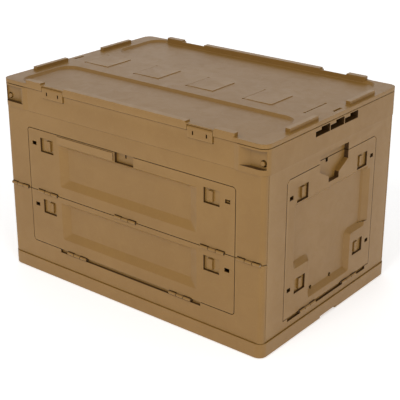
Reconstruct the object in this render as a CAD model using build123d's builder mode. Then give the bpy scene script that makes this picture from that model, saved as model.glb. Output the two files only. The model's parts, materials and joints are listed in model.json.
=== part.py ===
"""Collapsible storage crate with a hinged lid, two folding side doors, two end doors and fold-in end walls.

Millimetres, +Z up. The origin is the centre of the footprint, on the ground. The long walls face -Y
(front) and +Y (back); the end walls face +X (right) and -X (left).
"""
import os

from build123d import *

os.makedirs("parts", exist_ok=True)

# ---------------------------------------------------------------- overall sizes
crate_length = 530.0
crate_width = 365.0
corner_radius = 14.0

base_height = 24.0
collar_bottom = 288.0
rim_height = 39.0
lid_seam = 1.0
lid_plate = 6.5
lid_rail = 6.0

# ---------------------------------------------------------------- walls and clearances
wall_inset = 2.0
wall_thickness = 9.0
end_thickness = 12.0
wall_corner_radius = 8.5
seam = 1.0
door_gap = 0.9
side_gap = 0.6
skin = 3.0

# ---------------------------------------------------------------- hinges
knuckle_radius = 2.7
hinge_stand = 0.3
pin_radius = 1.2
pin_clearance = 0.05
knuckle_gap = 0.8
hidden_pin_radius = 1.5
hidden_knuckle_radius = 3.5
hinge_drop = 2.0
foot_depth = 3.2

# ---------------------------------------------------------------- base tray
base_ledge = 15.0
base_end_ledge = 18.0
floor_bottom = 8.0
floor_thickness = 3.0
base_rib = 3.0
base_cells_x = 5
base_cells_y = 3
hand_notch_width = 46.0
hand_notch_height = 4.5

# ---------------------------------------------------------------- rim frame
rim_depth_end = 20.0
rim_depth_side = 18.0
rim_skirt = 4.0
grip_width = 38.0
grip_pitch = 40.0
grip_drop = 14.0
grip_low = 8.0
grip_high = 12.0
grip_step = 15.0
corner_pocket_width = 43.0
corner_pocket_depth = 8.0
corner_pocket_rise = 9.0
corner_pocket_drop = 3.0
corner_pocket_ramp = 15.0
corner_zone = 47.0
corner_zone_ramp = 9.0
corner_hole_radius = 5.2
corner_hole_depth = 5.0
corner_boss_radius = 3.8
corner_boss_rise = 2.4
corner_boss_shift = 1.2
corner_hole_inset = 9.5
corner_hole_rise = 16.5
corner_slit_width = 1.8
corner_slit_height = 6.0
corner_slit_inset = 4.5
rim_joint = 0.2

# ---------------------------------------------------------------- long wall doors
door_post = 51.8
door_sill = 33.0
door_head = 27.5
post_hinge_inset = 27.0
post_hinge_length = 40.0
door_hinge_inset = 41.2
door_hinge_length = 44.0
drop_hinge_inset = 103.2
drop_hinge_length = 43.0
channel_inset = 64.2
channel_height = 6.0
channel_depth = 4.0
panel_inset = 71.2
panel_depth = 6.0
panel_margin_top = 17.0
panel_margin_mid = 9.0
panel_margin_low = 20.0
panel_slope_side = 15.5
panel_slope_low = 13.0
panel_slope_high = 5.0
finger_width = 38.0
finger_height = 17.0
finger_depth = 5.0
door_corner_radius = 5.0
end_door_chamfer = 5.0
bar_inset_side = 68.2
bar_inset_middle = 22.0
bar_drop = 2.5
bar_height = 13.0
bar_rise = 1.3
lock_slot_length = 7.0
lock_slot_width = 2.4

# ---------------------------------------------------------------- end wall doors
end_door_post = 56.7
end_door_sill = 16.0
end_door_head = 22.0
end_hinge_inset = 64.8
end_hinge_length = 44.0
end_channel_inset = 11.8
end_recess_inset = 22.8
end_recess_side_inset = 13.8
end_recess_foot_inset = 35.8
end_recess_low_inset = 65.8
end_recess_head = 44.0
end_recess_step_height = 65.0
end_recess_sill = 12.0
end_recess_corner = 4.0
end_drain_places = (-42.0, 13.0)
end_drain_height = 62.0
end_drain_radius = 3.0
end_lock_centre = -10.0
end_lock_width = 6.0
end_lock_height = 7.0
end_recess_depth = 7.0
end_recess_taper = 50.0
end_finger_half = 40.0
end_finger_neck = 14.0
end_finger_rise = 12.0
end_finger_height = 26.0
end_finger_neck_height = 23.0
end_finger_depth = 7.5
end_axis_drop = 7.0
end_axis_inset = 4.2
end_skin_drop = 0.7
end_inner_drop = 4.0
lug_inset = 42.5
lug_middle = 50.0
lug_length = 18.0
lug_web = 8.0

# ---------------------------------------------------------------- fold ears of the long walls
ear_side_inset = 30.0
ear_middle = 80.0
ear_length = 24.0
ear_pin_overhang = 6.0
ear_inset = 4.5
fold_depth = 10.0
fold_rise = 2.0

# ---------------------------------------------------------------- slide latches
latch_offset = 43.5
latch_drop = 25.5
end_latch_offset = 41.5
end_latch_drop = 31.0
end_latch_rise = 47.0
latch_mouth = 29.0
latch_mouth_height = 24.0
latch_skin = 3.4
latch_grip = 9.0
latch_grip_shift = 7.5
latch_grip_height = 17.0
latch_plate = 1.5
latch_play = 0.3
latch_bolt_height = 6.0
latch_travel = 7.0
latch_window_start = 24.5
latch_window_length = 9.0

# ---------------------------------------------------------------- lid
clip_inset = 116.0
clip_width = 46.0
clip_zone = 47.2
clip_plate = 2.6
clip_drop = 10.0
clip_axis_inset = 3.7
clip_axis_rise = 3.8
clip_slot_offset = 12.5
clip_slot_width = 2.2
clip_slot_drop = 4.5
clip_slot_height = 5.5
clip_web = 3.0
lid_skirt_gap = 1.6
lid_skirt_thickness = 2.5
lid_skirt_depth = 5.0
rail_inset = 55.0
rail_width = 11.0
rail_low = 3.6
rail_zone = 52.0
rail_round = 3.0
tray_inset = 27.0
tray_width = 118.5
tray_depth = 4.0
tray_slope = 50.0
tray_radius = 26.0
end_bar_start = 44.0
end_bar_inset = 64.5
end_bar_width = 8.0
end_bar_edge = 10.0
strap_slot_length = 22.0
strap_slot_width = 4.0
strap_slot_shift = 14.0
ramp_margin = 40.0
ramp_length = 53.0
ramp_half = 29.0
ramp_rise_low = 0.6
ramp_rise_high = 1.1
ramp_count = 4
ramp_slit = 1.6
ramp_slit_depth = 3.0
ramp_dot = 2.0
rear_relief = 2.0

# ---------------------------------------------------------------- places worked out from the sizes
half_length = crate_length / 2
half_width = crate_width / 2
face_x = half_length - wall_inset
face_y = half_width - wall_inset
inner_x = face_x - end_thickness
inner_y = face_y - wall_thickness
rim_top = collar_bottom + rim_height
lid_bottom = rim_top + lid_seam
lid_top = lid_bottom + lid_plate
crate_height = lid_top + lid_rail
rim_under = collar_bottom + rim_skirt
grip_bottom = rim_top - grip_drop
corner_pocket_bottom = collar_bottom + corner_pocket_rise
corner_pocket_top = rim_top - corner_pocket_drop
corner_hole_height = collar_bottom + corner_hole_rise

fold_low_axis = base_height - fold_depth
fold_high_axis = collar_bottom + fold_rise
mid_height = (fold_low_axis + fold_high_axis) / 2

door_half = half_length - door_post
door_bottom = base_height + door_sill
door_top = collar_bottom - door_head
leaf_half = door_half - door_gap
post_hinge_centre = half_length - post_hinge_inset
door_hinge_centres = (door_hinge_inset - door_half, 0, door_half - door_hinge_inset)
drop_hinge_centres = (drop_hinge_inset - door_half, door_half - drop_hinge_inset)
channel_half = door_half - channel_inset
panel_half = door_half - panel_inset
latch_height_upper = door_top - latch_drop
latch_height_lower = mid_height - latch_drop

end_door_half = half_width - end_door_post
end_door_bottom = base_height + end_door_sill
end_door_top = collar_bottom - end_door_head
end_leaf_half = end_door_half - door_gap
end_hinge_centres = (end_hinge_inset - end_door_half, end_door_half - end_hinge_inset)
end_channel_half = end_door_half - end_channel_inset
end_recess_half = end_door_half - end_recess_inset
end_recess_side = end_door_half - end_recess_side_inset
end_recess_foot = end_door_half - end_recess_foot_inset
end_recess_low_half = end_door_half - end_recess_low_inset
end_recess_top = end_door_top - end_recess_head
end_recess_low = end_door_bottom + end_recess_sill
end_recess_step = end_recess_low + end_recess_step_height
end_finger_top = end_door_top + end_finger_rise
end_finger_shoulder = end_finger_top - end_finger_height
end_finger_bottom = end_finger_shoulder - end_finger_neck_height
end_latch_upper = end_door_top - end_latch_drop
end_latch_lower = end_door_bottom + end_latch_rise

hinge_y = -(face_y + hinge_stand)
end_hinge_x = face_x + hinge_stand
drop_axis_height = door_bottom - hinge_drop
end_drop_axis_height = end_door_bottom - hinge_drop
end_axis_x = face_x - end_axis_inset
end_axis_height = collar_bottom - end_axis_drop
end_skin_top = collar_bottom - end_skin_drop
end_inner_top = collar_bottom - end_inner_drop
lug_outer = half_width - lug_inset
lug_centres = (-lug_outer, -lug_middle, lug_middle, lug_outer)
bore_radius = pin_radius + pin_clearance
hidden_bore_radius = hidden_pin_radius + pin_clearance

ear_y = face_y - ear_inset
ear_outer = half_length - ear_side_inset
ear_centres = (-ear_outer, -ear_middle, ear_middle, ear_outer)
ear_half_room = ear_length / 2 + side_gap
ear_pin_half = ear_half_room + ear_pin_overhang
ear_depth_room = hidden_knuckle_radius + side_gap

clip_centre = half_length - clip_inset
clip_bottom = rim_top - clip_drop
clip_axis_y = half_width - clip_axis_inset
clip_axis_height = lid_bottom + clip_axis_rise
clip_notch = 2 * clip_axis_inset + knuckle_gap
clip_notch_top = clip_axis_height + clip_axis_inset + knuckle_gap
clip_slot_low = rim_top - clip_slot_drop
clip_pin_half = clip_zone / 2 + lug_web
rail_half = half_length - rail_inset
tray_half = half_length - tray_inset
tray_outer = half_width - rail_width + tray_depth
tray_inner = tray_outer - tray_width
end_bar_x = half_length - end_bar_edge
end_bar_end = half_width - end_bar_inset
ramp_pitch = (crate_length - 2 * ramp_margin) / ramp_count
first_slit = ramp_margin - half_length


# ---------------------------------------------------------------- shared shapes
def block(x_range, y_range, z_range, mode=Mode.ADD):
    """Add or cut a box given by its two limits on each axis."""
    (x0, x1), (y0, y1), (z0, z1) = x_range, y_range, z_range
    with Locations(((x0 + x1) / 2, (y0 + y1) / 2, (z0 + z1) / 2)):
        Box(x1 - x0, y1 - y0, z1 - z0, mode=mode)


def rod_x(x_range, y, z, radius, mode=Mode.ADD):
    """Add or cut a round bar along X."""
    with Locations(Location(((x_range[0] + x_range[1]) / 2, y, z), (0, 90, 0))):
        Cylinder(radius, x_range[1] - x_range[0], mode=mode)


def rod_y(y_range, x, z, radius, mode=Mode.ADD):
    """Add or cut a round bar along Y."""
    with Locations(Location((x, (y_range[0] + y_range[1]) / 2, z), (90, 0, 0))):
        Cylinder(radius, y_range[1] - y_range[0], mode=mode)


def knuckle_spans(centre, length):
    """Split one hinge into three knuckles; returns the two outer spans and the middle span."""
    third = length / 3
    start = centre - length / 2
    outer = [(start, start + third - knuckle_gap / 2)]
    outer.append((start + 2 * third + knuckle_gap / 2, start + length))
    middle = (start + third + knuckle_gap / 2, start + 2 * third - knuckle_gap / 2)
    return outer, [middle]


def grown(span, amount):
    """A span made longer by the same amount at both ends."""
    return (span[0] - amount, span[1] + amount)


def hinge_half(rod, centre, length, across, height, own_outer, foot=None):
    """Give a leaf its own knuckles, room for the other leaf's knuckles, and the pin bore.

    foot, where the leaf's edge stops short of the hinge line, is the web that joins each knuckle to
    the leaf: its two limits across the hinge, then its two limits in height.
    """
    outer, middle = knuckle_spans(centre, length)
    own, other = (outer, middle) if own_outer else (middle, outer)
    for span in other:
        rod(grown(span, knuckle_gap), across, height, knuckle_radius + knuckle_gap, Mode.SUBTRACT)
    for span in own:
        rod(span, across, height, knuckle_radius)
        if foot and rod is rod_x:
            block(span, foot[0], foot[1])
        elif foot:
            block(foot[0], span, foot[1])
    rod((centre - length / 2 - seam, centre + length / 2 + seam), across, height, bore_radius, Mode.SUBTRACT)


def ear_pockets(axis_height, z_range):
    """Cut the rooms for the long walls' fold ears, and the bores for their pins, along both long sides."""
    for side in (-1, 1):
        centre_y = side * ear_y
        for ear_x in ear_centres:
            block(
                (ear_x - ear_half_room, ear_x + ear_half_room),
                (centre_y - ear_depth_room, centre_y + ear_depth_room),
                z_range,
                Mode.SUBTRACT,
            )
            pin_span = (ear_x - ear_pin_half, ear_x + ear_pin_half)
            rod_x(pin_span, centre_y, axis_height, hidden_bore_radius, Mode.SUBTRACT)


def cut_in(tool, places):
    """Cut a tool out of the piece being built, at each of the places."""
    for place in places:
        add(tool.moved(place), mode=Mode.SUBTRACT)


def save(piece, name):
    """Name a finished piece and write it."""
    piece.label = name
    export_step(piece, f"parts/{name}.step")


def save_with_twin(piece, name, twin_name):
    """Write a piece, and its twin turned half a turn about the vertical axis."""
    save(piece, name)
    with BuildPart() as twin:
        add(piece.rotate(Axis.Z, 180))
    save(twin.part, twin_name)


# ---------------------------------------------------------------- slide latch, in its own frame
# The frame's origin is on the door's outer face at the latch's centre: +X is the way the bolt
# leaves, -Y is outwards and +Z is up.
def latch_reach(offset):
    """Distance from a latch's centre to the edge of its door leaf."""
    return offset - door_gap


latch_plate_front = latch_skin + latch_play
latch_plate_back = latch_plate_front + latch_plate
latch_plate_start = -latch_mouth / 2 - latch_travel - latch_play
latch_plate_end = latch_mouth / 2 + seam


def latch_slider(offset):
    """The sliding plate that floors the latch's mouth, with its grip block and its bolt, drawn back."""
    half_height = latch_mouth_height / 2 - latch_play
    with BuildPart() as slider:
        block(
            (latch_plate_start, latch_plate_end),
            (latch_plate_front, latch_plate_back),
            (-half_height, half_height),
        )
        block(
            (-latch_grip_shift, latch_grip - latch_grip_shift),
            (latch_play, latch_plate_front),
            (-latch_grip_height / 2, latch_grip_height / 2),
        )
        block(
            (latch_plate_end, latch_reach(offset) - latch_play),
            (latch_plate_front, latch_plate_back),
            (-latch_bolt_height / 2, latch_bolt_height / 2),
        )
    return slider.part


def latch_room(offset):
    """The space a latch needs in its door leaf: mouth, slideway, bolt tunnel and the window over the bolt."""
    mouth = latch_mouth / 2
    half_bolt = latch_bolt_height / 2
    slideway_back = latch_plate_back + latch_play
    with BuildPart() as room:
        block((-mouth, mouth), (-seam, latch_skin), (-latch_mouth_height / 2, latch_mouth_height / 2))
        block(
            (latch_plate_start - latch_play, latch_plate_end + latch_travel + latch_play),
            (latch_skin, slideway_back),
            (-latch_mouth_height / 2, latch_mouth_height / 2),
        )
        block(
            (0, latch_reach(offset) + seam),
            (latch_skin, slideway_back),
            (-half_bolt - latch_play, half_bolt + latch_play),
        )
        block(
            (latch_window_start, latch_window_start + latch_window_length),
            (-seam, latch_skin),
            (-half_bolt, half_bolt),
        )
    return room.part


def keeper_room(offset):
    """The slot in the frame that the bolt slides into."""
    half_bolt = latch_bolt_height / 2
    with BuildPart() as room:
        block(
            (offset - door_gap, offset + latch_travel + skin),
            (latch_skin, latch_plate_back + latch_play),
            (-half_bolt - latch_play, half_bolt + latch_play),
        )
    return room.part


turn_over = Location((0, 0, 0), (0, 180, 0))


def front_latch_place(side, height):
    """Where a front-door latch sits; side is +1 on the right and -1 on the left."""
    place = Location((side * (door_half - latch_offset), -face_y, height))
    return place if side > 0 else place * turn_over


def end_latch_place(side, height):
    """Where a right-door latch sits; side is +1 at the back and -1 at the front."""
    place = Location((face_x, side * (end_door_half - end_latch_offset), height), (0, 0, 90))
    return place if side > 0 else place * turn_over


def front_latch_places(height):
    """The places of both front-door latches at one height."""
    return [front_latch_place(side, height) for side in (-1, 1)]


def end_latch_places():
    """The places of the four right-door latches."""
    heights = (end_latch_lower, end_latch_upper)
    return [end_latch_place(side, height) for side in (-1, 1) for height in heights]


# ---------------------------------------------------------------- base tray
def rounded_slab(length, width, radius, bottom, top, mode=Mode.ADD):
    """A slab with rounded vertical corners, centred on the origin."""
    with BuildSketch(Plane.XY.offset(bottom)) as outline:
        RectangleRounded(length, width, radius)
    extrude(outline.sketch, amount=top - bottom, mode=mode)


cell_length = (crate_length - 2 * base_end_ledge - (base_cells_x - 1) * base_rib) / base_cells_x
cell_width = (crate_width - 2 * base_ledge - (base_cells_y - 1) * base_rib) / base_cells_y

with BuildPart() as base_tray:
    rounded_slab(crate_length, crate_width, corner_radius, 0, base_height)
    chamfer(base_tray.faces().sort_by(Axis.Z)[0].edges(), skin / 2)
    rounded_slab(
        crate_length - 2 * base_end_ledge,
        crate_width - 2 * base_ledge,
        corner_radius / 2,
        floor_bottom + floor_thickness,
        base_height,
        Mode.SUBTRACT,
    )
    with BuildSketch(Plane.XY):
        with GridLocations(cell_length + base_rib, cell_width + base_rib, base_cells_x, base_cells_y):
            RectangleRounded(cell_length, cell_width, skin)
    extrude(amount=floor_bottom, mode=Mode.SUBTRACT)
    block(
        (-half_length, half_length),
        (-hand_notch_width / 2, hand_notch_width / 2),
        (0, hand_notch_height),
        Mode.SUBTRACT,
    )
    ear_pockets(fold_low_axis, (fold_low_axis - ear_depth_room, base_height))
save(base_tray.part, "base_tray")


# ---------------------------------------------------------------- rim frame
def handle_grip(centre):
    """Cut one stepped finger opening through the rim's end."""
    left = centre - grip_width / 2
    with BuildSketch(Plane.YZ.offset(-half_length)) as outline:
        with BuildLine():
            Polyline(
                (left, grip_bottom),
                (left + grip_width, grip_bottom),
                (left + grip_width, grip_bottom + grip_high),
                (left + grip_step, grip_bottom + grip_high),
                (left + grip_step, grip_bottom + grip_low),
                (left, grip_bottom + grip_low),
                close=True,
            )
        make_face()
    extrude(outline.sketch, amount=crate_length, mode=Mode.SUBTRACT)


def setback():
    """The layer cut off the front face between its corner zones, so that it is flush with the wall."""
    reach = half_length - corner_zone
    with BuildSketch(Plane.XY.offset(collar_bottom)) as outline:
        with BuildLine():
            Polyline(
                (-reach, -half_width - seam),
                (reach, -half_width - seam),
                (reach, -half_width),
                (reach - corner_zone_ramp, -face_y),
                (-reach + corner_zone_ramp, -face_y),
                (-reach, -half_width),
                close=True,
            )
        make_face()
    return extrude(outline.sketch, amount=rim_top - collar_bottom, mode=Mode.PRIVATE)


def corner_boss():
    """The round boss that stands in the hole of the front right corner pocket."""
    boss_x = half_length - corner_hole_inset - corner_boss_shift
    depth = -half_width + corner_pocket_depth
    with BuildPart() as boss:
        with BuildSketch(Plane.XZ.offset(-depth + corner_boss_rise)):
            with Locations((boss_x, corner_hole_height)):
                Circle(corner_boss_radius)
        extrude(amount=-(corner_boss_rise + corner_hole_depth + seam))
        fillet(boss.faces().sort_by(Axis.Y)[0].edges(), corner_boss_rise / 2)
    return boss.part


def corner_pocket():
    """The sloped pocket at the right end of the front face, its round hole and the slit beside it."""
    right = half_length - skin
    left = right - corner_pocket_width
    with BuildSketch(Plane.XY.offset(corner_pocket_bottom)) as outline:
        with BuildLine():
            Polyline(
                (left, -half_width - seam),
                (right, -half_width - seam),
                (right, -half_width + corner_pocket_depth),
                (left + corner_pocket_ramp, -half_width + corner_pocket_depth),
                (left, -half_width),
                close=True,
            )
        make_face()
    with BuildPart() as pocket:
        extrude(outline.sketch, amount=corner_pocket_top - corner_pocket_bottom)
        with BuildSketch(Plane.XZ.offset(half_width)):
            with Locations((half_length - corner_hole_inset, corner_hole_height)):
                Circle(corner_hole_radius)
        extrude(amount=-(corner_pocket_depth + corner_hole_depth))
        block(
            (half_length - skin, half_length + seam),
            (-half_width + corner_slit_inset - corner_slit_width, -half_width + corner_slit_inset),
            (collar_bottom + seam, collar_bottom + seam + corner_slit_height),
        )
    return pocket.part


with BuildPart() as rim_frame:
    rounded_slab(crate_length, crate_width, corner_radius, collar_bottom, rim_top)
    rounded_slab(
        crate_length - 2 * skin,
        crate_width - 2 * skin,
        corner_radius - skin,
        collar_bottom,
        rim_under,
        Mode.SUBTRACT,
    )
    rounded_slab(
        crate_length - 2 * rim_depth_end,
        crate_width - 2 * rim_depth_side,
        corner_radius,
        collar_bottom,
        rim_top,
        Mode.SUBTRACT,
    )
    for grip_index in (-1, 0, 1):
        handle_grip(grip_index * grip_pitch)
    for cut_piece in (setback(), corner_pocket()):
        for turned_piece in (cut_piece, cut_piece.rotate(Axis.Z, 180)):
            add(turned_piece, mode=Mode.SUBTRACT)
            add(turned_piece.mirror(Plane.YZ), mode=Mode.SUBTRACT)
    for turned_boss in (corner_boss(), corner_boss().rotate(Axis.Z, 180)):
        add(turned_boss)
        add(turned_boss.mirror(Plane.YZ))
    for clip_side in (-1, 1):
        for clip_x in (-clip_centre, clip_centre):
            seat_back = half_width - clip_plate - knuckle_gap
            block(
                (clip_x - clip_zone / 2, clip_x + clip_zone / 2),
                sorted((clip_side * seat_back, clip_side * (half_width + seam))),
                (clip_bottom - knuckle_gap, rim_top),
                Mode.SUBTRACT,
            )
    ear_pockets(fold_high_axis, (collar_bottom, fold_high_axis + ear_depth_room))
    for lug_side in (-1, 1):
        for lug_y in lug_centres:
            lug_span = (lug_y - lug_length / 2, lug_y + lug_length / 2)
            stem = sorted((lug_side * (end_axis_x - knuckle_radius), lug_side * (end_axis_x + hinge_stand)))
            block(stem, lug_span, (end_axis_height, rim_under))
            rod_y(lug_span, lug_side * end_axis_x, end_axis_height, knuckle_radius)
            rod_y(lug_span, lug_side * end_axis_x, end_axis_height, bore_radius, Mode.SUBTRACT)
save(rim_frame.part, "rim_frame")


# ---------------------------------------------------------------- long walls
def corners_at(piece, direction, height):
    """The edges of a piece that run in one direction at one height."""
    lines = piece.edges().filter_by(direction)
    return lines.filter_by_position(Axis.Z, height - pin_clearance, height + pin_clearance)


def wall_ears(height, seat):
    """Ears that reach from a wall's edge into the base or the rim, with their pin bores."""
    depth = (-ear_y - hidden_knuckle_radius, -ear_y + hidden_knuckle_radius)
    for ear_x in ear_centres:
        span = (ear_x - ear_length / 2, ear_x + ear_length / 2)
        block(span, depth, sorted((height, seat)))
        rod_x(span, -ear_y, height, hidden_knuckle_radius)
        rod_x(span, -ear_y, height, hidden_bore_radius, Mode.SUBTRACT)


with BuildPart() as front_lower_wall:
    block((-face_x, face_x), (-face_y, -inner_y), (base_height + seam / 2, mid_height - seam / 2))
    fillet(front_lower_wall.edges().filter_by(Axis.Z).group_by(Axis.Y)[0], wall_corner_radius)
    block(
        (-door_half, door_half),
        (-face_y, -inner_y),
        (door_bottom - seam / 2, mid_height),
        Mode.SUBTRACT,
    )
    fillet(corners_at(front_lower_wall, Axis.Y, door_bottom - seam / 2), door_corner_radius + door_gap)
    block(
        (-channel_half, channel_half),
        (-face_y, -face_y + channel_depth),
        (door_bottom - channel_height, door_bottom),
        Mode.SUBTRACT,
    )
    wall_ears(fold_low_axis, base_height + seam)
    for hinge_x in (-post_hinge_centre, post_hinge_centre):
        hinge_half(rod_x, hinge_x, post_hinge_length, hinge_y, mid_height, True)
    for hinge_x in drop_hinge_centres:
        hinge_half(
            rod_x, hinge_x, drop_hinge_length, hinge_y, drop_axis_height, True,
            ((hinge_y, -face_y + channel_depth), (drop_axis_height - knuckle_radius, drop_axis_height)),
        )
    cut_in(keeper_room(latch_offset), front_latch_places(latch_height_lower))
save_with_twin(front_lower_wall.part, "front_lower_wall", "back_lower_wall")

with BuildPart() as front_upper_wall:
    block((-face_x, face_x), (-face_y, -inner_y), (mid_height + seam / 2, collar_bottom - rim_joint))
    fillet(front_upper_wall.edges().filter_by(Axis.Z).group_by(Axis.Y)[0], wall_corner_radius)
    block((-door_half, door_half), (-face_y, -inner_y), (mid_height, door_top), Mode.SUBTRACT)
    fillet(corners_at(front_upper_wall, Axis.Y, door_top), door_corner_radius + door_gap)
    wall_ears(fold_high_axis, collar_bottom - seam)
    for hinge_x in (-post_hinge_centre, post_hinge_centre):
        hinge_half(rod_x, hinge_x, post_hinge_length, hinge_y, mid_height, False)
    cut_in(keeper_room(latch_offset), front_latch_places(latch_height_upper))
save_with_twin(front_upper_wall.part, "front_upper_wall", "back_upper_wall")


# ---------------------------------------------------------------- long wall doors
def front_panel(bottom, top):
    """Cut the sunk panel into a front door leaf; its slopes are long at the sides and short on top."""
    floor_low = bottom + panel_slope_low
    floor_high = top - panel_slope_high
    with BuildSketch(Plane.XZ.offset(face_y)) as mouth:
        with Locations((0, (bottom + top) / 2)):
            RectangleRounded(2 * panel_half, top - bottom, skin)
    with BuildSketch(Plane.XZ.offset(face_y - panel_depth)) as floor:
        with Locations((0, (floor_low + floor_high) / 2)):
            RectangleRounded(2 * (panel_half - panel_slope_side), floor_high - floor_low, skin)
    loft([mouth.sketch, floor.sketch], mode=Mode.SUBTRACT)


with BuildPart() as front_lower_door:
    block((-leaf_half, leaf_half), (-face_y, -inner_y), (door_bottom + seam / 2, mid_height - seam / 2))
    fillet(corners_at(front_lower_door, Axis.Y, door_bottom + seam / 2), door_corner_radius)
    front_panel(door_bottom + panel_margin_low, mid_height - panel_margin_mid)
    for hinge_x in door_hinge_centres:
        hinge_half(rod_x, hinge_x, door_hinge_length, hinge_y, mid_height, True)
    for hinge_x in drop_hinge_centres:
        hinge_half(
            rod_x, hinge_x, drop_hinge_length, hinge_y, drop_axis_height, False,
            ((hinge_y, hinge_y + foot_depth), (drop_axis_height, door_bottom + seam)),
        )
    cut_in(latch_room(latch_offset), front_latch_places(latch_height_lower))
save_with_twin(front_lower_door.part, "front_lower_door", "back_lower_door")

with BuildPart() as front_upper_door:
    block((-leaf_half, leaf_half), (-face_y, -inner_y), (mid_height + seam / 2, door_top - door_gap))
    fillet(corners_at(front_upper_door, Axis.Y, door_top - door_gap), door_corner_radius)
    block(
        (bar_inset_side - door_half, -bar_inset_middle),
        (-face_y - bar_rise, -face_y),
        (door_top - bar_drop - bar_height, door_top - bar_drop),
    )
    front_panel(mid_height + panel_margin_low - seam, door_top - panel_margin_top)
    block(
        (-finger_width / 2, finger_width / 2),
        (-face_y, -face_y + finger_depth),
        (door_top - finger_height, door_top),
        Mode.SUBTRACT,
    )
    block(
        (-lock_slot_width / 2, lock_slot_width / 2),
        (-face_y, -inner_y),
        (door_top - door_gap - lock_slot_length, door_top),
        Mode.SUBTRACT,
    )
    for hinge_x in door_hinge_centres:
        hinge_half(rod_x, hinge_x, door_hinge_length, hinge_y, mid_height, False)
    cut_in(latch_room(latch_offset), front_latch_places(latch_height_upper))
save_with_twin(front_upper_door.part, "front_upper_door", "back_upper_door")


# ---------------------------------------------------------------- end walls and their doors
def end_finger_cut():
    """Cut the funnel-shaped finger pocket that crosses the top seam of the end door."""
    with BuildSketch(Plane.YZ.offset(face_x)) as outline:
        with BuildLine():
            Polyline(
                (-end_finger_half, end_finger_top),
                (end_finger_half, end_finger_top),
                (end_finger_half, end_finger_shoulder),
                (end_finger_neck, end_finger_shoulder - end_finger_neck),
                (end_finger_neck, end_finger_bottom),
                (-end_finger_neck, end_finger_bottom),
                (-end_finger_neck, end_finger_shoulder - end_finger_neck),
                (-end_finger_half, end_finger_shoulder),
                close=True,
            )
        make_face()
    extrude(outline.sketch, amount=-end_finger_depth, mode=Mode.SUBTRACT)


def end_recess_slope():
    """Cut the long gentle slope on the back side of the end door's sunk panel."""
    low = end_recess_step + end_recess_depth
    high = end_recess_top - end_recess_depth
    with BuildSketch(Plane.XY.offset(low)) as outline:
        with BuildLine():
            Polyline(
                (face_x + seam, end_recess_foot),
                (face_x - end_recess_depth, end_recess_foot),
                (face_x, end_recess_side),
                (face_x + seam, end_recess_side),
                close=True,
            )
        make_face()
    extrude(outline.sketch, amount=high - low, mode=Mode.SUBTRACT)


with BuildPart() as right_end_wall:
    wall_span = (-(inner_y - side_gap), inner_y - side_gap)
    block((inner_x, face_x), wall_span, (base_height + seam, end_inner_top))
    block((face_x - skin, face_x), wall_span, (end_inner_top, end_skin_top))
    block(
        (inner_x, face_x),
        (-end_door_half, end_door_half),
        (end_door_bottom - seam / 2, end_door_top),
        Mode.SUBTRACT,
    )
    chamfer(corners_at(right_end_wall, Axis.X, end_door_top), end_door_chamfer + door_gap)
    block(
        (face_x - channel_depth, face_x),
        (-end_channel_half, end_channel_half),
        (end_door_bottom - channel_height, end_door_bottom),
        Mode.SUBTRACT,
    )
    end_finger_cut()
    end_foot_height = (end_drop_axis_height - knuckle_radius, end_drop_axis_height)
    for hinge_centre in end_hinge_centres:
        hinge_half(
            rod_y, hinge_centre, end_hinge_length, end_hinge_x, end_drop_axis_height, True,
            ((face_x - channel_depth, end_hinge_x), end_foot_height),
        )
    for lug_y in lug_centres:
        lug_room = (lug_y - lug_length / 2 - side_gap, lug_y + lug_length / 2 + side_gap)
        block(
            (inner_x, end_axis_x + 2 * hinge_stand),
            lug_room,
            (end_axis_height - knuckle_radius - knuckle_gap, end_skin_top),
            Mode.SUBTRACT,
        )
        rod_y(lug_room, end_axis_x, end_axis_height, knuckle_radius + knuckle_gap, Mode.SUBTRACT)
        rod_y(grown(lug_room, lug_web), end_axis_x, end_axis_height, bore_radius, Mode.SUBTRACT)
    cut_in(keeper_room(end_latch_offset), end_latch_places())
save_with_twin(right_end_wall.part, "right_end_wall", "left_end_wall")

with BuildPart() as right_end_door:
    block(
        (face_x - wall_thickness, face_x),
        (-end_leaf_half, end_leaf_half),
        (end_door_bottom + seam / 2, end_door_top - door_gap),
    )
    chamfer(corners_at(right_end_door, Axis.X, end_door_top - door_gap), end_door_chamfer)
    with BuildSketch(Plane.YZ.offset(face_x)) as right_end_recess:
        with BuildLine():
            Polyline(
                (-end_recess_half, end_recess_top),
                (end_recess_half, end_recess_top),
                (end_recess_half, end_recess_step),
                (end_recess_low_half, end_recess_step),
                (end_recess_low_half, end_recess_low),
                (-end_recess_low_half, end_recess_low),
                (-end_recess_low_half, end_recess_step),
                (-end_recess_half, end_recess_step),
                close=True,
            )
        make_face()
        fillet(right_end_recess.vertices(), end_recess_corner)
    extrude(amount=-end_recess_depth, taper=end_recess_taper, mode=Mode.SUBTRACT)
    end_recess_slope()
    end_finger_cut()
    for drain_y in end_drain_places:
        rod_x((face_x - wall_thickness, face_x), drain_y, end_drain_height, end_drain_radius, Mode.SUBTRACT)
    block(
        (face_x - wall_thickness, face_x),
        (end_lock_centre - end_lock_width / 2, end_lock_centre + end_lock_width / 2),
        (end_door_top - end_lock_height, end_door_top),
        Mode.SUBTRACT,
    )
    for hinge_centre in end_hinge_centres:
        hinge_half(
            rod_y, hinge_centre, end_hinge_length, end_hinge_x, end_drop_axis_height, False,
            ((end_hinge_x - foot_depth, end_hinge_x), (end_drop_axis_height, end_door_bottom + seam)),
        )
    cut_in(latch_room(end_latch_offset), end_latch_places())
save_with_twin(right_end_door.part, "right_end_door", "left_end_door")


# ---------------------------------------------------------------- slide latches
side_names = {-1: "left", 1: "right"}
across_names = {-1: "front", 1: "back"}
front_latch = latch_slider(latch_offset)
end_latch = latch_slider(end_latch_offset)

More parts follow.
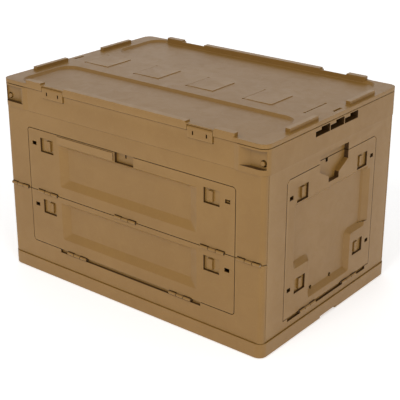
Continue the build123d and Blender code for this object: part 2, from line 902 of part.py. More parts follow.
for latch_side in (-1, 1):
    for level, latch_z in (("upper", latch_height_upper), ("lower", latch_height_lower)):
        with BuildPart() as slide:
            add(front_latch.moved(front_latch_place(latch_side, latch_z)))
        save_with_twin(
            slide.part,
            f"front_{level}_{side_names[latch_side]}_latch",
            f"back_{level}_{side_names[-latch_side]}_latch",
        )
    for level, latch_z in (("upper", end_latch_upper), ("lower", end_latch_lower)):
        with BuildPart() as slide:
            add(end_latch.moved(end_latch_place(latch_side, latch_z)))
        save_with_twin(
            slide.part,
            f"right_{level}_{across_names[latch_side]}_latch",
            f"left_{level}_{across_names[-latch_side]}_latch",
        )


# ---------------------------------------------------------------- hinge pins
def pin_group(rod, centres, length, across, height, radius):
    """A set of equal pins along one hinge line."""
    with BuildPart() as pins:
        for centre in centres:
            rod((centre - length / 2, centre + length / 2), across, height, radius)
    return pins.part


post_centres = (-post_hinge_centre, post_hinge_centre)
post_pins = pin_group(rod_x, post_centres, post_hinge_length, hinge_y, mid_height, pin_radius)
save_with_twin(post_pins, "front_wall_pins", "back_wall_pins")
mid_pins = pin_group(rod_x, door_hinge_centres, door_hinge_length, hinge_y, mid_height, pin_radius)
save_with_twin(mid_pins, "front_door_mid_pins", "back_door_mid_pins")
drop_pins = pin_group(rod_x, drop_hinge_centres, drop_hinge_length, hinge_y, drop_axis_height, pin_radius)
save_with_twin(drop_pins, "front_door_bottom_pins", "back_door_bottom_pins")
end_pins = pin_group(
    rod_y, end_hinge_centres, end_hinge_length, end_hinge_x, end_drop_axis_height, pin_radius
)
save_with_twin(end_pins, "right_door_pins", "left_door_pins")
lug_pin_length = lug_length + 2 * (side_gap + lug_web)
lug_pins = pin_group(rod_y, lug_centres, lug_pin_length, end_axis_x, end_axis_height, pin_radius)
save_with_twin(lug_pins, "right_end_wall_pins", "left_end_wall_pins")
for fold_height, fold_name in ((fold_low_axis, "lower"), (fold_high_axis, "upper")):
    fold_pins = pin_group(rod_x, ear_centres, 2 * ear_pin_half, -ear_y, fold_height, hidden_pin_radius)
    save_with_twin(fold_pins, f"front_{fold_name}_fold_pins", f"back_{fold_name}_fold_pins")


# ---------------------------------------------------------------- lid, its clips and their pins
def lid_rail_shape(side):
    """The long stacking rail on one long edge of the lid, a little lower over the clips."""
    limits = sorted((side * half_width, side * (half_width - rail_width)))
    with BuildPart() as rail:
        block((-rail_half, rail_half), limits, (lid_top - tray_depth, lid_top + lid_rail))
        fillet(rail.edges().filter_by(Axis.Z), rail_round)
        for clip_x in (-clip_centre, clip_centre):
            block(
                (clip_x - rail_zone / 2, clip_x + rail_zone / 2),
                limits,
                (lid_top + rail_low, lid_top + lid_rail),
                Mode.SUBTRACT,
            )
    return rail.part


def lid_ramp(start):
    """A shallow raised ramp on the lid's middle band."""
    with BuildSketch(Plane.XZ.offset(-ramp_half)) as outline:
        with BuildLine():
            Polyline(
                (start, lid_top),
                (start, lid_top + ramp_rise_low),
                (start + ramp_length, lid_top + ramp_rise_high),
                (start + ramp_length, lid_top),
                close=True,
            )
        make_face()
    extrude(outline.sketch, amount=2 * ramp_half)


def lid_slit(start):
    """A narrow slit across the lid's middle band with a round end at each side."""
    with BuildSketch(Plane.XY.offset(lid_top + ramp_rise_high)) as outline:
        with Locations((start, 0)):
            Rectangle(ramp_slit, 2 * ramp_half)
        with Locations((start, -ramp_half), (start, ramp_half)):
            Circle(ramp_dot)
    extrude(outline.sketch, amount=-(ramp_rise_high + ramp_slit_depth), mode=Mode.SUBTRACT)


def clip_shape(clip_x):
    """One lid clip on the front edge: a hooked plate with two slots that hangs from its barrel."""
    span = (clip_x - clip_width / 2, clip_x + clip_width / 2)
    with BuildPart() as clip:
        block(span, (-half_width, -half_width + clip_plate), (clip_bottom, clip_axis_height))
        block(span, (-half_width, -clip_axis_y), (clip_axis_height - clip_web, clip_axis_height))
        rod_x(span, -clip_axis_y, clip_axis_height, clip_axis_inset)
        rod_x(span, -clip_axis_y, clip_axis_height, bore_radius, Mode.SUBTRACT)
        for slot_x in (clip_x - clip_slot_offset, clip_x + clip_slot_offset):
            block(
                (slot_x - clip_slot_width / 2, slot_x + clip_slot_width / 2),
                (-half_width, -half_width + clip_plate),
                (clip_slot_low, clip_slot_low + clip_slot_height),
                Mode.SUBTRACT,
            )
    return clip.part


with BuildPart() as lid:
    rounded_slab(crate_length, crate_width, corner_radius, lid_bottom, lid_top)
    rounded_slab(
        crate_length - 2 * (rim_depth_end + lid_skirt_gap),
        crate_width - 2 * (rim_depth_side + lid_skirt_gap),
        corner_radius,
        lid_bottom - lid_skirt_depth,
        lid_bottom,
    )
    rounded_slab(
        crate_length - 2 * (rim_depth_end + lid_skirt_gap + lid_skirt_thickness),
        crate_width - 2 * (rim_depth_side + lid_skirt_gap + lid_skirt_thickness),
        corner_radius - lid_skirt_thickness,
        lid_bottom - lid_skirt_depth,
        lid_bottom,
        Mode.SUBTRACT,
    )
    for tray_side in (-1, 1):
        with BuildSketch(Plane.XY.offset(lid_top)):
            with Locations((0, tray_side * (tray_inner + tray_outer) / 2)):
                RectangleRounded(2 * tray_half, tray_outer - tray_inner, tray_radius)
        extrude(amount=-tray_depth, taper=tray_slope, mode=Mode.SUBTRACT)
        add(lid_rail_shape(tray_side))
        for bar_x in (-end_bar_x, end_bar_x):
            block(
                (bar_x - end_bar_width / 2, bar_x + end_bar_width / 2),
                sorted((tray_side * end_bar_start, tray_side * end_bar_end)),
                (lid_top, lid_top + lid_rail),
            )
        with Locations((tray_side * end_bar_x, tray_side * strap_slot_shift, lid_top)):
            Box(strap_slot_width, strap_slot_length, 2 * (lid_plate + lid_rail), mode=Mode.SUBTRACT)
    for ramp_index in range(ramp_count):
        lid_ramp(first_slit + ramp_index * ramp_pitch)
    for slit_index in range(ramp_count + 1):
        lid_slit(first_slit + slit_index * ramp_pitch)
    with BuildSketch(Plane.YZ.offset(-half_length)):
        with BuildLine():
            Polyline(
                (half_width, lid_bottom),
                (half_width - rear_relief, lid_bottom),
                (half_width, lid_bottom + rear_relief),
                close=True,
            )
        make_face()
    extrude(amount=crate_length, mode=Mode.SUBTRACT)
    for clip_side, notch_top in ((-1, clip_notch_top), (1, lid_top + lid_rail)):
        for clip_x in (-clip_centre, clip_centre):
            block(
                (clip_x - clip_zone / 2, clip_x + clip_zone / 2),
                sorted((clip_side * (half_width - clip_notch), clip_side * (half_width + seam))),
                (lid_bottom - seam, notch_top),
                Mode.SUBTRACT,
            )
            pin_span = (clip_x - clip_pin_half, clip_x + clip_pin_half)
            rod_x(pin_span, clip_side * clip_axis_y, clip_axis_height, bore_radius, Mode.SUBTRACT)
save(lid.part, "lid")

clip_sides = ((-clip_centre, "left", "right"), (clip_centre, "right", "left"))
for clip_x, clip_name, twin_clip_name in clip_sides:
    save_with_twin(clip_shape(clip_x), f"front_{clip_name}_clip", f"back_{twin_clip_name}_clip")
clip_centres = (-clip_centre, clip_centre)
clip_pins = pin_group(rod_x, clip_centres, 2 * clip_pin_half, -clip_axis_y, clip_axis_height, pin_radius)
save_with_twin(clip_pins, "front_clip_pins", "back_clip_pins")
print("crate size", crate_length, crate_width, crate_height)
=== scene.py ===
"""Looks of a folding storage crate in tan moulded plastic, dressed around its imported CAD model.

Every CAD moulding and pin is copied, its facets are merged and its edges are rounded, and the copy stands
for the node. The slide latches are modelled afresh, one pattern copied to the sixteen places.
All lengths are in metres, +Z is up, the front is -Y and the right end is +X.
"""

import json
import logging
import math
from contextlib import contextmanager
from dataclasses import dataclass, field
from enum import Enum
from typing import Any, Callable, Iterator

import bpy
from mathutils import Matrix, Vector


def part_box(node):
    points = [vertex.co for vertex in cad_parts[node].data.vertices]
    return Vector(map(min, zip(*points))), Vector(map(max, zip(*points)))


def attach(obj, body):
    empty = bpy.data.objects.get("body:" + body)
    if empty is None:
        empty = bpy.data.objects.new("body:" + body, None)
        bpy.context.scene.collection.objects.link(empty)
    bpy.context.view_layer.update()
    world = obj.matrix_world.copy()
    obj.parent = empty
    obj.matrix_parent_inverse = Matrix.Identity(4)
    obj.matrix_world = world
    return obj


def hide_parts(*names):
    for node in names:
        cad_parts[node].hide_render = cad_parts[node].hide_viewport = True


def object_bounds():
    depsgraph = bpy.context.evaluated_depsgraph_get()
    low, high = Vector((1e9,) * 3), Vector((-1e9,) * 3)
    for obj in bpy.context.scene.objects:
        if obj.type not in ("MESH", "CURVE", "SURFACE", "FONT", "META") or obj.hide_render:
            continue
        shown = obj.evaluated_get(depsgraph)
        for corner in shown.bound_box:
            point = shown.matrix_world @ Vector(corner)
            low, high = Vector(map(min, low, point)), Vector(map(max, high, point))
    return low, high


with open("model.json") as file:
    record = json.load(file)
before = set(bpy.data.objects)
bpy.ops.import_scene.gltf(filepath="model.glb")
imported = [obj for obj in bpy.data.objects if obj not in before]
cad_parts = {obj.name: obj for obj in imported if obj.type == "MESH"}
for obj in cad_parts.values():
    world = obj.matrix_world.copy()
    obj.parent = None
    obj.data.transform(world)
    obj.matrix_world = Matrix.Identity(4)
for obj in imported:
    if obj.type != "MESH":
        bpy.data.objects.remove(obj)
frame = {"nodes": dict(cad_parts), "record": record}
CAD_LOW, CAD_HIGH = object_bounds()

log = logging.getLogger("crate")

MM = 0.001
MERGE = 0.002 * MM
# Name of the face mask that paints shade into the seams between mouldings.
SEAM_SHADE = "seam"
Colour = tuple[float, float, float]


class Slot(Enum):
    """The record's material slots."""

    PLASTIC = "crate_plastic"
    STEEL = "pin_steel"


# ------------------------------------------------------------------------------------------- shader maths
class Value:
    """A shader socket that builds Math nodes from Python expressions."""

    def __init__(self, tree: "ShaderTree", socket: bpy.types.NodeSocket) -> None:
        """Wrap an output socket of a tree."""
        self.tree = tree
        self.socket = socket

    def _math(self, operation: str, *terms: "Value | float") -> "Value":
        """Add one Math node.

        Args:
            operation: the Math node's operation.
            terms: its inputs, in order.

        Returns:
            The node's result.
        """
        made = self.tree.add("ShaderNodeMath", {"operation": operation}, dict(enumerate(terms)))
        return Value(self.tree, made.outputs[0])

    def __add__(self, other: "Value | float") -> "Value":
        """self + other."""
        return self._math("ADD", self, other)

    __radd__ = __add__

    def __sub__(self, other: "Value | float") -> "Value":
        """self - other."""
        return self._math("SUBTRACT", self, other)

    def __rsub__(self, other: "Value | float") -> "Value":
        """other - self."""
        return self._math("SUBTRACT", other, self)

    def __mul__(self, other: "Value | float") -> "Value":
        """self * other."""
        return self._math("MULTIPLY", self, other)

    __rmul__ = __mul__

    def clamp(self) -> "Value":
        """The value kept between 0 and 1."""
        made = self.tree.add("ShaderNodeClamp", {}, {0: self})
        return Value(self.tree, made.outputs[0])

    def between(self, low: float, high: float) -> "Value":
        """A smooth mask that is 0 at low and 1 at high."""
        made = self.tree.add(
            "ShaderNodeMapRange",
            {"interpolation_type": "SMOOTHSTEP"},
            {"Value": self, "From Min": low, "From Max": high},
        )
        return Value(self.tree, made.outputs[0])


class ShaderTree:
    """The node tree of one material."""

    def __init__(self, name: str) -> None:
        """Start an empty material.

        Args:
            name: the material's name.
        """
        self.material = bpy.data.materials.new(name)
        self.material.use_nodes = True
        self.nodes = self.material.node_tree.nodes
        self.links = self.material.node_tree.links
        self.nodes.clear()

    def add(self, kind: str, settings: dict[str, Any], inputs: dict[Any, Any]) -> bpy.types.Node:
        """Add a node.

        Args:
            kind: the node's type name.
            settings: properties set first.
            inputs: a number, a colour or a Value for each socket, by name or index.

        Returns:
            The new node.
        """
        node = self.nodes.new(kind)
        for key, value in settings.items():
            setattr(node, key, value)
        for key, value in inputs.items():
            if isinstance(value, Value):
                self.links.new(value.socket, node.inputs[key])
            elif isinstance(value, bpy.types.NodeSocket):
                self.links.new(value, node.inputs[key])
            else:
                node.inputs[key].default_value = value
        return node

    def noise(
        self, place: bpy.types.NodeSocket, scale: float, detail: float, distortion: float = 0.0
    ) -> Value:
        """Fractal noise around 0.5.

        Args:
            place: the coordinates that it follows.
            scale: cells per metre.
            detail: octaves.
            distortion: how far the cells are pulled about.

        Returns:
            The noise value.
        """
        inputs = {"Vector": place, "Scale": scale, "Detail": detail, "Distortion": distortion}
        return Value(self, self.add("ShaderNodeTexNoise", {}, inputs).outputs[0])

    def blend(self, mask: Value, first: Any, second: Any) -> bpy.types.NodeSocket:
        """Mix two colours.

        Args:
            mask: 0 gives the first, 1 the second.
            first: a colour or a colour socket.
            second: a colour or a colour socket.

        Returns:
            The mixed colour's socket.
        """
        as_input = [(*c, 1.0) if isinstance(c, tuple) else c for c in (first, second)]
        mixed = self.add("ShaderNodeMix", {"data_type": "RGBA"}, {0: mask, 6: as_input[0], 7: as_input[1]})
        return mixed.outputs[2]


# ------------------------------------------------------------------------------------------- finishes
@dataclass(frozen=True)
class MouldedPlastic:
    """Satin polypropylene with a fine spark-eroded grain and faint flow marks, with a painted highlight on
    convex edges and painted shade in concave corners and seams.

    Attributes:
        name: the material's name.
        colour: the plastic's own colour, linear.
        light: the colour where the pigment is thin, and of the painted highlight on convex edges.
        dark: the colour of the faint cloudy patches and of the painted shade in concave corners.
        seam: the painted shade colour inside the seams between mouldings.
        roughness: mean roughness.
        grain: cells per metre of the surface grain.
        grain_depth: its height in metres.
    """

    name: str
    colour: Colour
    light: Colour
    dark: Colour
    seam: Colour
    roughness: float = 0.46
    grain: float = 1500.0
    grain_depth: float = 0.00009

    def build(self) -> bpy.types.Material:
        """Make the material.

        Returns:
            The finished material.
        """
        tree = ShaderTree(self.name)
        place = tree.add("ShaderNodeTexCoord", {}, {}).outputs["Object"]
        pointiness = Value(tree, tree.add("ShaderNodeNewGeometry", {}, {}).outputs["Pointiness"])
        cloud = tree.noise(place, 7.0, 3.0, 0.4)
        flow = tree.noise(place, 38.0, 4.0, 1.2)
        mottle = tree.noise(place, 260.0, 3.0)
        grain = tree.noise(place, self.grain, 2.0)
        # Painted highlight: convex edges, found by pointiness, are lightened towards the light colour and
        # made a little glossier.
        edge_highlight = pointiness.between(0.52, 0.62) * (0.55 + mottle * 0.6)
        # Painted shade: concave corners, found by pointiness, are darkened towards the dark colour.
        corner_shade = 1.0 - pointiness.between(0.40, 0.49)
        # Painted shade: faces inside seams and hinge hollows are darkened to the seam colour.
        seam_shade_mask = Value(tree, tree.add("ShaderNodeAttribute", {"attribute_name": SEAM_SHADE}, {}).outputs["Fac"])
        patchy = (cloud * 0.6 + flow * 0.4).between(0.36, 0.66)
        body = tree.blend(patchy * 0.55, self.colour, self.dark)
        flecked = tree.blend(mottle.between(0.55, 0.75) * 0.16, body, self.light)
        shaded = tree.blend((corner_shade * 0.35).clamp(), flecked, self.dark)
        # Lays the painted edge highlight over the colour.
        edge_highlighted = tree.blend((edge_highlight * 0.45).clamp(), shaded, self.light)
        seam_shaded = tree.blend((seam_shade_mask * (0.80 + mottle * 0.2)).clamp(), edge_highlighted, self.seam)
        gloss = self.roughness + (flow - 0.5) * 0.16 + (mottle - 0.5) * 0.10 - edge_highlight * 0.07
        height = grain * 0.7 + mottle * 0.3
        bump = tree.add(
            "ShaderNodeBump", {}, {"Height": height, "Strength": 0.35, "Distance": self.grain_depth}
        )
        shader = tree.add(
            "ShaderNodeBsdfPrincipled",
            {},
            {"Base Color": seam_shaded, "Roughness": gloss.clamp(), "Normal": bump.outputs[0], "IOR": 1.49},
        )
        tree.add("ShaderNodeOutputMaterial", {}, {"Surface": shader.outputs[0]})
        return tree.material


@dataclass(frozen=True)
class DrawnSteel:
    """Wire pin: drawn steel with fine scratches and a little dulling.

    Attributes:
        name: the material's name.
        colour: clean metal, linear.
        dull: tarnished metal, linear.
    """

    name: str
    colour: Colour
    dull: Colour

    def build(self) -> bpy.types.Material:
        """Make the material.

        Returns:
            The finished material.
        """
        tree = ShaderTree(self.name)
        place = tree.add("ShaderNodeTexCoord", {}, {}).outputs["Object"]
        stain = tree.noise(place, 180.0, 4.0)
        scratch = tree.noise(place, 2600.0, 2.0)
        colour = tree.blend(stain.between(0.42, 0.64), self.colour, self.dull)
        gloss = 0.30 + stain * 0.22 + (scratch - 0.5) * 0.14
        bump = tree.add("ShaderNodeBump", {}, {"Height": scratch, "Strength": 0.25, "Distance": 0.00004})
        shader = tree.add(
            "ShaderNodeBsdfPrincipled",
            {},
            {"Base Color": colour, "Roughness": gloss.clamp(), "Metallic": 1.0, "Normal": bump.outputs[0]},
        )
        tree.add("ShaderNodeOutputMaterial", {}, {"Surface": shader.outputs[0]})
        return tree.material


# ------------------------------------------------------------------------------------------- mesh tools
def deselect() -> None:
    """Leave edit mode and deselect every object."""
    if bpy.context.object and bpy.context.object.mode != "OBJECT":
        bpy.ops.object.mode_set(mode="OBJECT")
    bpy.ops.object.select_all(action="DESELECT")


def activate(piece: bpy.types.Object) -> None:
    """Make one object the only selected and the active one."""
    deselect()
    piece.select_set(True)
    bpy.context.view_layer.objects.active = piece


@contextmanager
def editing(piece: bpy.types.Object, mode: str = "VERT", select: str = "SELECT") -> Iterator[None]:
    """Edit one object's mesh.

    Args:
        piece: the object.
        mode: the selection mode.
        select: what happens to the selection first.
    """
    activate(piece)
    bpy.ops.object.mode_set(mode="EDIT")
    bpy.ops.mesh.select_mode(type=mode)
    bpy.ops.mesh.select_all(action=select)
    yield
    bpy.ops.object.mode_set(mode="OBJECT")


def apply_modifier(piece: bpy.types.Object, kind: str, **settings: Any) -> None:
    """Add a modifier and apply it.

    Args:
        piece: the object.
        kind: the modifier's type.
        settings: its properties.
    """
    activate(piece)
    modifier = piece.modifiers.new(kind.lower(), kind)
    for key, value in settings.items():
        setattr(modifier, key, value)
    bpy.ops.object.modifier_apply(modifier=modifier.name)


def pick_edges(piece: bpy.types.Object, sharp: float, spared: Callable[[Vector], bool]) -> list[float]:
    """Find the edges to round.

    Args:
        piece: the object.
        sharp: the smallest angle, in degrees, that counts as an edge.
        spared: takes an edge's middle; true where the edge stays sharp.

    Returns:
        A bevel weight for every edge.
    """
    with editing(piece, "EDGE", "DESELECT"):
        bpy.ops.mesh.edges_select_sharp(sharpness=math.radians(sharp))
    points = [vertex.co for vertex in piece.data.vertices]
    weights = []
    for edge in piece.data.edges:
        middle = (points[edge.vertices[0]] + points[edge.vertices[1]]) * 0.5
        weights.append(1.0 if edge.select and not spared(middle) else 0.0)
    return weights


def mark_seam_shade(piece: bpy.types.Object, inside: Callable[[Vector, Vector], bool]) -> None:
    """Mark the faces that lie inside a seam, which get the painted seam shade.

    Args:
        piece: the object.
        inside: takes a face's centre and normal.
    """
    marks = piece.data.attributes.new(SEAM_SHADE, "FLOAT", "FACE")
    marks.data.foreach_set("value", [float(inside(face.center, face.normal)) for face in piece.data.polygons])


def keep_inside(piece: bpy.types.Object, node: str, slack: float = 0.005 * MM) -> None:
    """Draw each point that a rounding has pushed out of the CAD node's box back to its nearest neighbour.

    Args:
        piece: the object.
        node: the CAD node that it stands for.
        slack: how far a point may stand out.
    """
    low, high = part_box(node)
    points = piece.data.vertices
    strays = {
        point.index
        for point in points
        if any(c < l - slack or c > h + slack for c, l, h in zip(point.co, low, high))
    }
    links: dict[int, list[int]] = {index: [] for index in strays}
    for edge in piece.data.edges:
        first, second = edge.vertices
        if first in strays:
            links[first].append(second)
        if second in strays:
            links[second].append(first)
    while strays:
        settled = {index for index in strays if any(other not in strays for other in links[index])}
        if not settled:
            break
        for index in settled:
            here = points[index].co
            ends = [points[other].co.copy() for other in links[index] if other not in strays]
            points[index].co = min(ends, key=lambda end: (end - here).length)
        strays -= settled
    with editing(piece):
        bpy.ops.mesh.remove_doubles(threshold=MERGE)
        bpy.ops.mesh.dissolve_degenerate(threshold=MERGE)


def soften(
    piece: bpy.types.Object,
    node: str,
    radius: float,
    spared: Callable[[Vector], bool] = lambda middle: False,
    segments: int = 2,
    sharp: float = 12.0,
) -> None:
    """Round a piece's edges and shade it smoothly.

    Args:
        piece: the object.
        node: the CAD node that it stands for, whose box it keeps to.
        radius: the rounding of its edges.
        spared: takes an edge's middle; true where the edge stays sharp.
        segments: faces across each rounding.
        sharp: the smallest angle, in degrees, that counts as an edge.
    """
    weights = pick_edges(piece, sharp, spared)
    store = piece.data.attributes.new("bevel_weight_edge", "FLOAT", "EDGE")
    store.data.foreach_set("value", weights)
    apply_modifier(
        piece,
        "BEVEL",
        width=radius,
        segments=segments,
        limit_method="WEIGHT",
        use_clamp_overlap=False,
        miter_outer="MITER_SHARP",
    )
    keep_inside(piece, node)
    activate(piece)
    bpy.ops.object.shade_smooth_by_angle(angle=math.radians(40.0))
    apply_modifier(piece, "WEIGHTED_NORMAL", keep_sharp=True, weight=80)


def merged_copy(node: str, name: str) -> bpy.types.Object:
    """Copy a CAD node and merge its loose facets into flat faces.

    Args:
        node: the CAD node.
        name: the copy's name.

    Returns:
        The copy.
    """
    source = frame["nodes"][node]
    piece = bpy.data.objects.new(name, source.data.copy())
    bpy.context.scene.collection.objects.link(piece)
    piece.data.materials.clear()
    if piece.data.has_custom_normals:
        activate(piece)
        bpy.ops.mesh.customdata_custom_splitnormals_clear()
    with editing(piece):
        bpy.ops.mesh.remove_doubles(threshold=0.005 * MM)
        bpy.ops.mesh.dissolve_limited(angle_limit=math.radians(0.6))
    return piece


def dress(piece: bpy.types.Object, body: str, slot: Slot, material: bpy.types.Material, *nodes: str) -> None:
    """Give a finished piece its material and its place in the object.

    Args:
        piece: the object.
        body: the CAD body that it rides on.
        slot: the record's material slot; not used.
        material: its material.
        nodes: the CAD nodes that it stands for.
    """
    piece.data.materials.clear()
    piece.data.materials.append(material)
    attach(piece, body)
    if nodes:
        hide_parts(*nodes)
    log.info("%s rides on %s", piece.name, body)


BODY_OF = {node: body for body, nodes in frame["record"]["behaviour"]["bodies"].items() for node in nodes}


# ------------------------------------------------------------------------------------------- mouldings
@dataclass(frozen=True)
class HingeLine:
    """One hinge line, with the hollow round its knuckles.

    Attributes:
        point: a point on its axis.
        axis: the axis' direction.
        barrel: the knuckles' radius.
        room: how far the hollow reaches past the knuckles.
    """

    point: Vector
    axis: Vector
    barrel: float = 2.7 * MM
    room: float = 1.1 * MM

    def hollow(self, centre: Vector, normal: Vector) -> bool:
        """True for a face of the hollow that the knuckles turn in, which gets the painted seam shade.

        Args:
            centre: the face's centre.
            normal: its normal.
        """
        away = centre - self.point
        away = away - self.axis * away.dot(self.axis)
        reach = away.length
        return self.barrel < reach < self.barrel + self.room and away.dot(normal) < -0.5 * reach


HINGE_LINES = [
    HingeLine(Vector(row["pos_m"]), Vector(row["axis"]))
    for row in frame["record"]["behaviour"]["joints"]
    if row["type"] == "hinge" and "door" in row["name"]
]


@dataclass
class Mouldings:
    """The crate's CAD mouldings, each with rounded edges.

    Attributes:
        plastic: their material.
        edge: the rounding of their edges.
        joint_height: the height of the joint between the long walls and the rim.
        joint_band: how far an edge may lie above or below that joint and still belong to it.
        joint_margin: distance from the crate's ends within which the joint shows.
        seam_low: the height under which no face gets the painted seam shade.
        seam_top: the height over which no face gets the painted seam shade.
        side_band: depth behind the long faces in which seam faces get painted shade.
        end_band: depth behind the end faces in which seam faces get painted shade.
    """

    plastic: bpy.types.Material
    edge: float = 0.4 * MM
    joint_height: float = 288.0 * MM
    joint_band: float = 0.6 * MM
    joint_margin: float = 50.0 * MM
    seam_low: float = 26.0 * MM
    seam_top: float = 328.5 * MM
    side_band: float = 14.0 * MM
    end_band: float = 16.0 * MM

    def joint_line(self, middle: Vector) -> bool:
        """True on the joint between the rim and the long walls, which barely shows.

        Args:
            middle: an edge's middle.
        """
        within = abs(middle.x) < CAD_HIGH.x - self.joint_margin
        return within and abs(middle.z - self.joint_height) < self.joint_band

    def in_seam(self, centre: Vector, normal: Vector) -> bool:
        """True for a face that stands square to the wall it belongs to, below the lid; such faces get the
        painted seam shade.

        Args:
            centre: the face's centre.
            normal: its normal.
        """
        if centre.z > self.seam_top or centre.z < self.seam_low:
            return False
        if any(line.hollow(centre, normal) for line in HINGE_LINES):
            return True
        on_side = CAD_HIGH.y - abs(centre.y) < self.side_band
        on_end = CAD_HIGH.x - abs(centre.x) < self.end_band
        if abs(normal.z) > 0.9:
            return on_side or on_end
        along_x = abs(normal.x) > 0.9 and on_side and not on_end
        along_y = abs(normal.y) > 0.9 and on_end and not on_side
        return along_x or along_y

    def build(self) -> None:
        """Make a rounded copy of every plastic node."""
        for row in frame["record"]["subparts"]:
            if row["material_slot"] != Slot.PLASTIC.value or row["node"].endswith("_latch"):
                continue
            piece = merged_copy(row["node"], f"{row['node']}_moulding")
            mark_seam_shade(piece, self.in_seam)
            soften(piece, row["node"], self.edge, self.joint_line)
            dress(piece, BODY_OF[row["node"]], Slot.PLASTIC, self.plastic, row["node"])


@dataclass
class SlideLatches:
    """The sixteen slide latches, made from one pattern that points along +X and faces -Y.

    Attributes:
        plastic: their material.
        plate: thickness of the sliding plate.
        plate_length: its length along the slide.
        plate_height: its height.
        grip_start: distance from the plate's blind end to the grip.
        grip_width: the grip's width along the slide.
        grip_height: its height.
        scoop: depth of the finger scoop in the grip's face.
        scoop_rim: width of the rim round the scoop.
        bolt_height: height of the bolt.
        nose: length of the bolt's tapered nose.
        nose_inset: how far the nose narrows on each side.
        lap: how far the grip and the bolt run into the plate.
        edge: the rounding of the edges.
    """

    plastic: bpy.types.Material
    plate: float = 1.5 * MM
    plate_length: float = 37.3 * MM
    plate_height: float = 23.4 * MM
    grip_start: float = 14.3 * MM
    grip_width: float = 9.0 * MM
    grip_height: float = 17.0 * MM
    scoop: float = 0.9 * MM
    scoop_rim: float = 1.6 * MM
    bolt_height: float = 6.0 * MM
    nose: float = 0.8 * MM
    nose_inset: float = 0.25 * MM
    lap: float = 0.2 * MM
    edge: float = 0.25 * MM

    def bar(self, name: str, low: Vector, high: Vector) -> bpy.types.Object:
        """Start a bar between two corners.

        Args:
            name: the bar's name.
            low: its lowest corner.
            high: its highest corner.

        Returns:
            The bar.
        """
        deselect()
        bpy.ops.mesh.primitive_cube_add(size=1.0, location=(low + high) * 0.5)
        bar = bpy.context.object
        bar.name = name
        bar.scale = high - low
        bpy.ops.object.transform_apply(location=True, rotation=True, scale=True)
        return bar

    def work_face(self, piece: bpy.types.Object, facing: Vector, inset: float, move: Vector) -> None:
        """Inset the face that points one way and move it.

        Args:
            piece: the bar.
            facing: the way that the face points.
            inset: how far its border is drawn in.
            move: how far it moves.
        """
        deselect()
        for vertex in piece.data.vertices:
            vertex.select = False
        for edge in piece.data.edges:
            edge.select = False
        for face in piece.data.polygons:
            face.select = face.normal.dot(facing) > 0.99
        activate(piece)
        bpy.ops.object.mode_set(mode="EDIT")
        bpy.ops.mesh.select_mode(type="FACE")
        bpy.ops.mesh.inset(thickness=inset)
        bpy.ops.transform.translate(value=move)
        bpy.ops.object.mode_set(mode="OBJECT")

    def pattern(self, length: float, depth: float) -> bpy.types.Object:
        """Model one latch with its blind end, face and middle height at the origin.

        Args:
            length: from the plate's blind end to the bolt's tip.
            depth: from the grip's face to the plate's back.

        Returns:
            The latch.
        """
        front = depth - self.plate
        half = self.plate_height * 0.5
        plate = self.bar("plate", Vector((0.0, front, -half)), Vector((self.plate_length, depth, half)))
        grip_end = self.grip_start + self.grip_width
        half = self.grip_height * 0.5
        grip_high = Vector((grip_end, front + self.lap, half))
        grip = self.bar("grip", Vector((self.grip_start, 0.0, -half)), grip_high)
        self.work_face(grip, Vector((0.0, -1.0, 0.0)), self.scoop_rim, Vector((0.0, self.scoop, 0.0)))
        half = self.bolt_height * 0.5
        bolt_low = Vector((self.plate_length - self.lap, front, -half))
        bolt = self.bar("bolt", bolt_low, Vector((length - self.nose, depth, half)))
        self.work_face(bolt, Vector((1.0, 0.0, 0.0)), self.nose_inset, Vector((self.nose, 0.0, 0.0)))
        deselect()
        for piece in (plate, grip, bolt):
            piece.select_set(True)
        bpy.context.view_layer.objects.active = plate
        bpy.ops.object.join()
        return plate

    def build(self) -> None:
        """Model the pattern for each length and copy it to its places."""
        patterns: dict[int, bpy.types.Object] = {}
        for row in frame["record"]["behaviour"]["joints"]:
            node = row["child"]
            if not node.endswith("_latch"):
                continue
            low, high = (Vector(corner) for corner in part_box(node))
            along = Vector(row["axis"])
            outward = Vector((0.0, math.copysign(1.0, low.y), 0.0))
            if abs(along.x) < 0.5:
                outward = Vector((math.copysign(1.0, low.x), 0.0, 0.0))
            size = high - low
            length, depth = abs(size.dot(along)), abs(size.dot(outward))
            key = round(length / MM * 10)
            if key not in patterns:
                patterns[key] = self.pattern(length, depth)
            middle = (low + high) * 0.5
            start = middle - along * (length * 0.5) + outward * (depth * 0.5)
            piece = bpy.data.objects.new(f"{node}_slider", patterns[key].data.copy())
            bpy.context.scene.collection.objects.link(piece)
            turn = Matrix((along, -outward, along.cross(-outward))).transposed().to_4x4()
            piece.matrix_world = Matrix.Translation(start) @ turn
            activate(piece)
            bpy.ops.object.transform_apply(location=True, rotation=True, scale=True)
            soften(piece, node, self.edge)
            dress(piece, BODY_OF[node], Slot.PLASTIC, self.plastic, node)
        for pattern in patterns.values():
            bpy.data.objects.remove(pattern)


@dataclass
class Pins:
    """The hinge pins.

    Attributes:
        steel: their material.
        edge: the rounding of their ends.
    """

    steel: bpy.types.Material
    edge: float = 0.2 * MM

    def build(self) -> None:
        """Make a copy of every pin group."""
        for row in frame["record"]["subparts"]:
            if row["material_slot"] != Slot.STEEL.value:
                continue
            piece = merged_copy(row["node"], f"{row['node']}_wire")
            soften(piece, row["node"], self.edge)
            dress(piece, BODY_OF[row["node"]], Slot.STEEL, self.steel, row["node"])


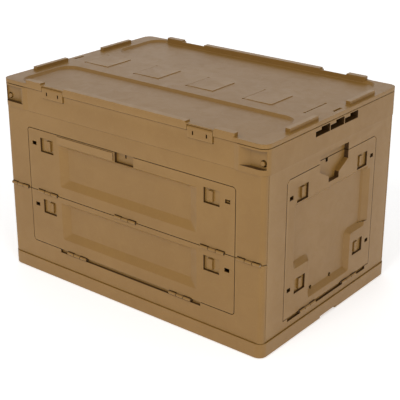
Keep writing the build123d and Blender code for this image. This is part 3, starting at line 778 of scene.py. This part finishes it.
# ------------------------------------------------------------------------------------------- studio
@dataclass
class Studio:
    """Floor, light and camera.

    Attributes:
        aim: the point that the camera looks at.
        azimuth: the camera's turn from the front towards the right end, in degrees.
        elevation: its height above the horizon, in degrees.
        distance: its distance from the aim.
        lens: focal length for a 36 mm sensor.
        shift: the frame's offset, in frame widths.
        floor_glow: the light that the paper floor gives off itself.
    """

    aim: Vector = field(default_factory=lambda: Vector((0.0, 0.0, 0.164)))
    azimuth: float = 38.66
    elevation: float = 21.76
    distance: float = 1.738
    lens: float = 93.0
    shift: tuple[float, float] = (0.0058, -0.0523)
    floor_glow: float = 0.42

    def camera(self) -> None:
        """Add the camera and make it the scene's."""
        turn, rise = math.radians(self.azimuth), math.radians(self.elevation)
        back = Vector((math.sin(turn) * math.cos(rise), -math.cos(turn) * math.cos(rise), math.sin(rise)))
        data = bpy.data.cameras.new("camera")
        data.lens = self.lens
        data.sensor_width = 36.0
        data.shift_x, data.shift_y = self.shift
        data.clip_start, data.clip_end = 0.01, 50.0
        camera = bpy.data.objects.new("camera", data)
        bpy.context.scene.collection.objects.link(camera)
        camera.location = self.aim + back * self.distance
        camera.rotation_euler = (-back).to_track_quat("-Z", "Y").to_euler()
        bpy.context.scene.camera = camera

    def lamp(self, name: str, place: Vector, size: float, power: float) -> None:
        """Add one square soft light that faces the crate.

        Args:
            name: the light's name.
            place: where it stands.
            size: the length of its sides.
            power: watts.
        """
        data = bpy.data.lights.new(name, "AREA")
        data.size = size
        data.energy = power
        lamp = bpy.data.objects.new(name, data)
        bpy.context.scene.collection.objects.link(lamp)
        lamp.location = place
        lamp.rotation_euler = (self.aim - place).to_track_quat("-Z", "Y").to_euler()

    def floor(self) -> None:
        """Add the pale floor."""
        deselect()
        bpy.ops.mesh.primitive_plane_add(size=14.0, location=(0.0, 0.0, CAD_LOW.z - 0.0005))
        floor = bpy.context.object
        floor.name = "floor"
        tree = ShaderTree("floor_paper")
        glow = {"Emission Color": (1.0, 1.0, 1.0, 1.0), "Emission Strength": self.floor_glow}
        shader = tree.add(
            "ShaderNodeBsdfPrincipled", {}, {"Base Color": (0.93, 0.93, 0.93, 1.0), "Roughness": 0.9, **glow}
        )
        tree.add("ShaderNodeOutputMaterial", {}, {"Surface": shader.outputs[0]})
        floor.data.materials.append(tree.material)

    def sky(self, strength: float) -> None:
        """Fill the surroundings with even white light.

        Args:
            strength: its brightness.
        """
        world = bpy.data.worlds.new("sky")
        bpy.context.scene.world = world
        world.use_nodes = True
        background = world.node_tree.nodes["Background"]
        background.inputs[0].default_value = (1.0, 1.0, 1.0, 1.0)
        background.inputs[1].default_value = strength

    def build(self) -> None:
        """Set up everything around the crate."""
        self.camera()
        self.floor()
        self.sky(0.46)
        self.lamp("key", Vector((0.3, -2.7, 2.4)), 1.1, 32.0)
        self.lamp("side", Vector((2.4, -1.2, 2.4)), 1.2, 22.0)
        self.lamp("panel", Vector((-1.75, 2.2, 1.25)), 2.4, 13.0)
        bpy.context.scene.view_settings.view_transform = "Standard"


def main() -> None:
    """Build the crate's looks in order."""
    logging.basicConfig(level=logging.INFO, format="%(name)s: %(message)s")
    Studio().build()
    plastic = MouldedPlastic(
        name="tan_polypropylene",
        colour=(0.256, 0.131, 0.025),
        # light also gives the painted highlight on convex edges.
        light=(0.36, 0.205, 0.062),
        # dark also gives the painted shade in concave corners.
        dark=(0.222, 0.111, 0.020),
        # seam is the painted shade inside the seams.
        seam=(0.040, 0.015, 0.002),
    ).build()
    steel = DrawnSteel("drawn_wire", (0.46, 0.43, 0.39), (0.22, 0.17, 0.12)).build()
    Mouldings(plastic).build()
    SlideLatches(plastic).build()
    Pins(steel).build()


if __name__ == "__main__":
    main()
